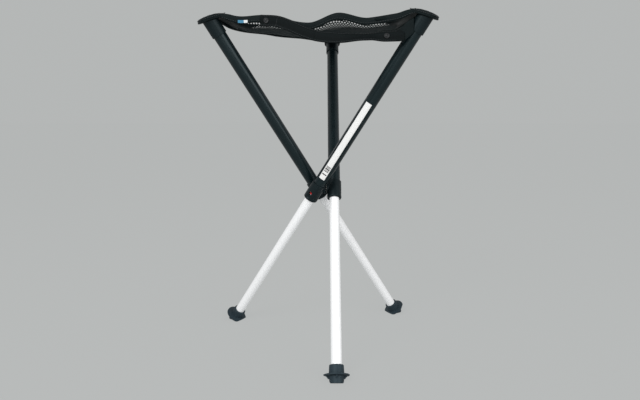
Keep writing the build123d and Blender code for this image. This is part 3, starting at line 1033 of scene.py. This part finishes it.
class STOOL_OT_sew_pockets(bpy.types.Operator):
    """Sew the three corner pockets that slip over the leg caps"""

    bl_idname = "stool.sew_pockets"
    bl_label = "Sew the corner pockets"

    def execute(self, context):
        sizes = context.scene.stool_sizes
        for side, leg in LEGS.items():
            points = [leg.inside(p) for p in node_points(f"corner_pocket_{side}")]
            top = np.array([(p.y, p.z) for p in points])
            centre = top.mean(axis=0)
            spread = np.linalg.svd(top - centre, full_matrices=False)[2]
            out = leg.y * spread[0][0] + leg.z * spread[0][1]
            if out.dot(leg.around) < 0:
                out = -out
            up = leg.x.cross(out)
            places = [leg.at(*p) for p in points]
            runs = [p.dot(out) for p in places]
            rises = [p.dot(up) for p in places]
            widths = [p.dot(leg.x) for p in places]
            box = [((max(v) + min(v)) / 2, (max(v) - min(v)) / 2) for v in (runs, rises, widths)]
            self.pocket(leg, out, up, box, sizes)
        return {"FINISHED"}

    def pocket(self, leg, out, up, box, sizes):
        """One pocket: a soft wedge, fuller over the cap, with piping round its rim and a stitched row."""
        (run, half_run), (rise, half_rise), (width, half_width) = box
        half_run += sizes.pocket_lap / 2
        half_width += sizes.pocket_swell
        origin = out * (run - sizes.pocket_lap / 2) + up * rise + leg.x * width
        count = 72
        rings = []
        for height, share in POCKET_PROFILE:
            ring = []
            for i in range(count):
                turn = 2 * math.pi * i / count
                c, s = rounded(turn, POCKET_SQUARE)
                r = c * half_run * share
                w = s * half_width * share
                crease = POCKET_CREASE * math.sin(5 * turn + 7 * height) * (1 - height * height)
                hump = max(0.0, 1 - (r / half_run + 0.12) ** 2) * max(0.0, 1 - 0.55 * (w / half_width) ** 2)
                dip = sizes.pocket_dip * ease(-r / half_run)
                dome = (sizes.pocket_dome * hump - dip) * ease((height + 0.9) / 1.9)
                level = height * half_rise + dome
                ring.append(origin + out * (r + crease) + leg.x * (w - crease) + up * level)
            rings.append(ring)
        bm = bmesh.new()
        loft(bm, rings)
        rim = []
        for i in range(count + 1):
            c, s = rounded(2 * math.pi * i / count, POCKET_SQUARE)
            rim.append((c * half_run, s * half_width))
        piping = []
        for i in range(count):
            r, w = rim[i]
            away = (out * (r / half_run**2) + leg.x * (w / half_width**2)).normalized()
            middle = origin + (out * r + leg.x * w) * PIPING_INSET - up * (half_rise * 0.5)
            turns = [2 * math.pi * j / 10 for j in range(10)]
            piping.append([middle + (away * math.cos(t) + up * math.sin(t)) * PIPING_RADIUS for t in turns])
        loft(bm, piping + piping[:1], caps=False)
        stitches = [origin + out * r + leg.x * w + up * (half_rise * 0.05 + 0.0012) for r, w in rim]
        normals = [(out * (r / half_run**2) + leg.x * (w / half_width**2)).normalized() for r, w in rim]
        stitch_row(bm, stitches, normals, sizes.stitch, sizes.stitch_pitch, THREAD_WIDE, 1)
        bmesh.ops.remove_doubles(bm, verts=bm.verts[:], dist=1e-7)
        bmesh.ops.recalc_face_normals(bm, faces=bm.faces[:])
        obj = new_piece(f"pocket_{leg.side}", bm, "leatherette", "thread")
        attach(obj, leg.body)
        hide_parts(f"corner_pocket_{leg.side}")


class STOOL_OT_sew_patches(bpy.types.Operator):
    """Sew the doubled leatherette patches that carry the net's corners"""

    bl_idname = "stool.sew_patches"
    bl_label = "Sew the corner patches"

    def execute(self, context):
        sizes = context.scene.stool_sizes
        seat = Seat(sizes)
        half_corner = (seat.plan.corners["right"][0] - seat.plan.corners["right"][1]).length / 2
        for side in SIDES:
            corner = seat.corner(side)
            across = (seat.plan.corners[side][1] - seat.plan.corners[side][0]).normalized()
            inward = Vector((-across.y, across.x, 0.0))
            if inward.dot(HUB - corner) < 0:
                inward = -inward
            self.patch(seat, side, corner, inward, across, half_corner, sizes)
        return {"FINISHED"}

    def patch(self, seat, side, corner, inward, across, half_corner, sizes):
        """One patch between two hems, its inner edge hollowed and stitched on both faces."""
        rows = 22
        columns = 36

        def place(u, v):
            reach = sizes.gusset * u * (0.68 + 0.32 * v * v)
            return corner + inward * reach + across * (v * (half_corner + reach * math.tan(math.radians(30))))

        grid = []
        for i in range(rows + 1):
            row = [place(i / rows, 2 * j / columns - 1) for j in range(columns + 1)]
            grid.append([Vector((q.x, q.y, seat.level(q))) for q in row])
        half = sizes.gusset_thick / 2
        bm = bmesh.new()
        skins = []
        for sign in (1, -1):
            lifts = [UP * (sign * half * self.thin(i / rows)) for i in range(rows + 1)]
            skins.append([[q + lift for q in row] for lift, row in zip(lifts, grid)])
        outline = [[skin[i][j] for i, j in self.rim(rows, columns)] for skin in skins]
        for skin in skins:
            loft(bm, skin, closed=False)
        loft(bm, outline, caps=False)
        for sign in (1, -1):
            line = [place(0.93, 1.9 * j / columns - 0.95) for j in range(columns + 1)]
            line = [Vector((q.x, q.y, seat.level(q) + sign * half * self.thin(0.93))) for q in line]
            stitch_row(bm, line, [UP * sign] * len(line), sizes.stitch, sizes.stitch_pitch, THREAD_WIDE, 1)
        bmesh.ops.remove_doubles(bm, verts=bm.verts[:], dist=1e-7)
        bmesh.ops.recalc_face_normals(bm, faces=bm.faces[:])
        seat.dress("corner_patch", bm, ("leatherette", "thread"), (), "leatherette")

    def thin(self, u):
        """The patch's share of its thickness, rolled thin at the inner edge."""
        return math.sqrt(max(0.12, 1 - max(0.0, (u - 0.94) / 0.06) ** 2))

    def rim(self, rows, columns):
        """Grid places round the patch's outline, in order."""
        lower = [(0, j) for j in range(columns)]
        right = [(i, columns) for i in range(rows)]
        upper = [(rows, j) for j in range(columns, 0, -1)]
        return lower + right + upper + [(i, 0) for i in range(rows, 0, -1)]


class STOOL_OT_stick_label(bpy.types.Operator):
    """Stick the plain label on the right upper tube and sew the small tag on the front hem"""

    bl_idname = "stool.stick_label"
    bl_label = "Add the label and tag"

    def execute(self, context):
        sizes = context.scene.stool_sizes
        leg = LEGS["right"]
        view = Vector((0.0, -1.0, 0.0))
        base = math.atan2(view.dot(leg.y), view.dot(leg.x)) - LABEL_TURN
        half = sizes.label_wide / (2 * TUBE_RADIUS)
        turns = [base - half + 2 * half * j / LABEL_COLUMNS for j in range(LABEL_COLUMNS + 1)]
        rows = []
        outside = TUBE_RADIUS + LABEL_LIFT
        for i in range(LABEL_ROWS + 1):
            t = sizes.label_low + (sizes.label_high - sizes.label_low) * i / LABEL_ROWS
            rows.append([leg.at(outside * math.cos(a), outside * math.sin(a), t) for a in turns])
        bm = bmesh.new()
        loft(bm, rows, closed=False)
        chance = random.Random("bars")
        dark = [BAR_ROWS[0] < i < BAR_ROWS[1] and chance.random() < 0.5 for i in range(LABEL_ROWS)]
        for place, face in enumerate(bm.faces):
            row, column = divmod(place, LABEL_COLUMNS)
            face.material_index = 1 if dark[row] and BAR_COLUMNS[0] < column < BAR_COLUMNS[1] else 0
        bmesh.ops.recalc_face_normals(bm, faces=bm.faces[:])
        label = new_piece("tube_label", bm, "label_white", "label_bar")
        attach(label, leg.body)
        self.tag(sizes)
        return {"FINISHED"}

    def tag(self, sizes):
        """A small two-tone tag on the left of the front hem."""
        seat = Seat(sizes)
        edge = seat.front
        section = band_section(TAG_THICK, TAG_TALL, 20, 0.35)
        for name, material, start, end in TAG_HALVES:
            rings = []
            for i in range(13):
                s = start + (end - start) * i / 12
                middle = edge.point(s, sizes.hem_thick + TAG_GAP) - UP * TAG_DROP
                rings.append([middle + edge.outward * o + UP * u for o, u in section])
            bm = bmesh.new()
            loft(bm, rings)
            bmesh.ops.recalc_face_normals(bm, faces=bm.faces[:])
            seat.dress("seat_" + name, bm, (material,), (), "leatherette")


class STOOL_OT_set_stage(bpy.types.Operator):
    """Lay the floor, hang the soft lights and place the camera"""

    bl_idname = "stool.set_stage"
    bl_label = "Set the stage"

    def execute(self, context):
        scene = context.scene
        colours = scene.stool_colours
        sizes = scene.stool_sizes
        self.floor(colours)
        self.lights(scene, colours)
        eye = bpy.data.cameras.new("Eye")
        eye.sensor_width = CAMERA_SENSOR
        eye.lens = CAMERA_LENS
        eye.clip_start = 0.01
        camera = bpy.data.objects.new("Eye", eye)
        scene.collection.objects.link(camera)
        camera.location = (HUB.x - CAMERA_SHIFT, HUB.y - sizes.camera_back, sizes.camera_high)
        camera.rotation_euler = (math.pi / 2 - sizes.camera_tilt, 0.0, 0.0)
        scene.camera = camera
        scene.view_settings.view_transform = "Standard"
        return {"FINISHED"}

    def floor(self, colours):
        """A wide floor in the colour of the surround."""
        material, tree, shader = new_material("stage_paper", Roughness=0.9)
        shader.inputs["Base Color"].default_value = rgba(colours.stage)
        shader.inputs["Specular IOR Level"].default_value = 0.0
        path = tree.nodes.new("ShaderNodeLightPath")
        glow = add_node(tree, "ShaderNodeEmission", Color=rgba(colours.stage))
        share = add_node(tree, "ShaderNodeMath", operation="MULTIPLY")
        share.inputs[1].default_value = FLOOR_GLOW
        mix = tree.nodes.new("ShaderNodeMixShader")
        tree.links.new(path.outputs["Is Camera Ray"], share.inputs[0])
        tree.links.new(share.outputs[0], mix.inputs[0])
        tree.links.new(shader.outputs[0], mix.inputs[1])
        tree.links.new(glow.outputs[0], mix.inputs[2])
        tree.links.new(mix.outputs[0], tree.nodes["Material Output"].inputs["Surface"])
        bm = bmesh.new()
        bmesh.ops.create_circle(bm, cap_ends=True, radius=FLOOR_RADIUS, segments=96)
        floor = new_piece("stage_floor", bm, "stage_paper")
        floor.location.z = -FLOOR_DROP

    def lights(self, scene, colours):
        """A pale surround and three large soft lights."""
        world = bpy.data.worlds.new("Surround")
        scene.world = world
        world.use_nodes = True
        tree = world.node_tree
        plain = tree.nodes["Background"]
        plain.inputs["Color"].default_value = (1.0, 1.0, 1.0, 1.0)
        plain.inputs["Strength"].default_value = SURROUND_STRENGTH
        seen = add_node(tree, "ShaderNodeBackground", Color=rgba(colours.stage), Strength=BACKDROP_STRENGTH)
        path = tree.nodes.new("ShaderNodeLightPath")
        mix = tree.nodes.new("ShaderNodeMixShader")
        tree.links.new(path.outputs["Is Camera Ray"], mix.inputs[0])
        tree.links.new(plain.outputs[0], mix.inputs[1])
        tree.links.new(seen.outputs[0], mix.inputs[2])
        tree.links.new(mix.outputs[0], tree.nodes["World Output"].inputs["Surface"])
        for name, place, size, power in LIGHTS:
            lamp = bpy.data.lights.new(name, "AREA")
            lamp.size = size
            lamp.energy = power
            obj = bpy.data.objects.new(name, lamp)
            scene.collection.objects.link(obj)
            obj.location = place
            aim = Vector(LIGHT_AIM) - Vector(place)
            obj.rotation_euler = aim.to_track_quat("-Z", "Y").to_euler()


class STOOL_PT_panel(bpy.types.Panel):
    """Sizes, colours and steps of the stool"""

    bl_idname = "STOOL_PT_panel"
    bl_label = "Tripod Stool"
    bl_space_type = "VIEW_3D"
    bl_region_type = "UI"
    bl_category = "Stool"

    def draw(self, context):
        for operator in OPERATORS:
            self.layout.operator(operator.bl_idname)
        for group in (context.scene.stool_sizes, context.scene.stool_colours):
            column = self.layout.column(align=True)
            for key in group.__annotations__:
                column.prop(group, key)


OPERATORS = (
    STOOL_OT_finish_frame,
    STOOL_OT_sew_net,
    STOOL_OT_sew_hems,
    STOOL_OT_hang_strap,
    STOOL_OT_sew_patches,
    STOOL_OT_sew_pockets,
    STOOL_OT_stick_label,
    STOOL_OT_set_stage,
)
CLASSES = (StoolColours, StoolSizes) + OPERATORS + (STOOL_PT_panel,)


def register():
    for cls in CLASSES:
        bpy.utils.register_class(cls)
    bpy.types.Scene.stool_colours = PointerProperty(type=StoolColours)
    bpy.types.Scene.stool_sizes = PointerProperty(type=StoolSizes)


def unregister():
    del bpy.types.Scene.stool_sizes
    del bpy.types.Scene.stool_colours
    for cls in reversed(CLASSES):
        bpy.utils.unregister_class(cls)


def main():
    register()
    make_materials()
    bpy.ops.stool.finish_frame()
    bpy.ops.stool.sew_net()
    bpy.ops.stool.sew_hems()
    bpy.ops.stool.hang_strap()
    bpy.ops.stool.sew_patches()
    bpy.ops.stool.sew_pockets()
    bpy.ops.stool.stick_label()
    bpy.ops.stool.set_stage()
    bpy.context.view_layer.update()


if __name__ == "__main__":
    main()
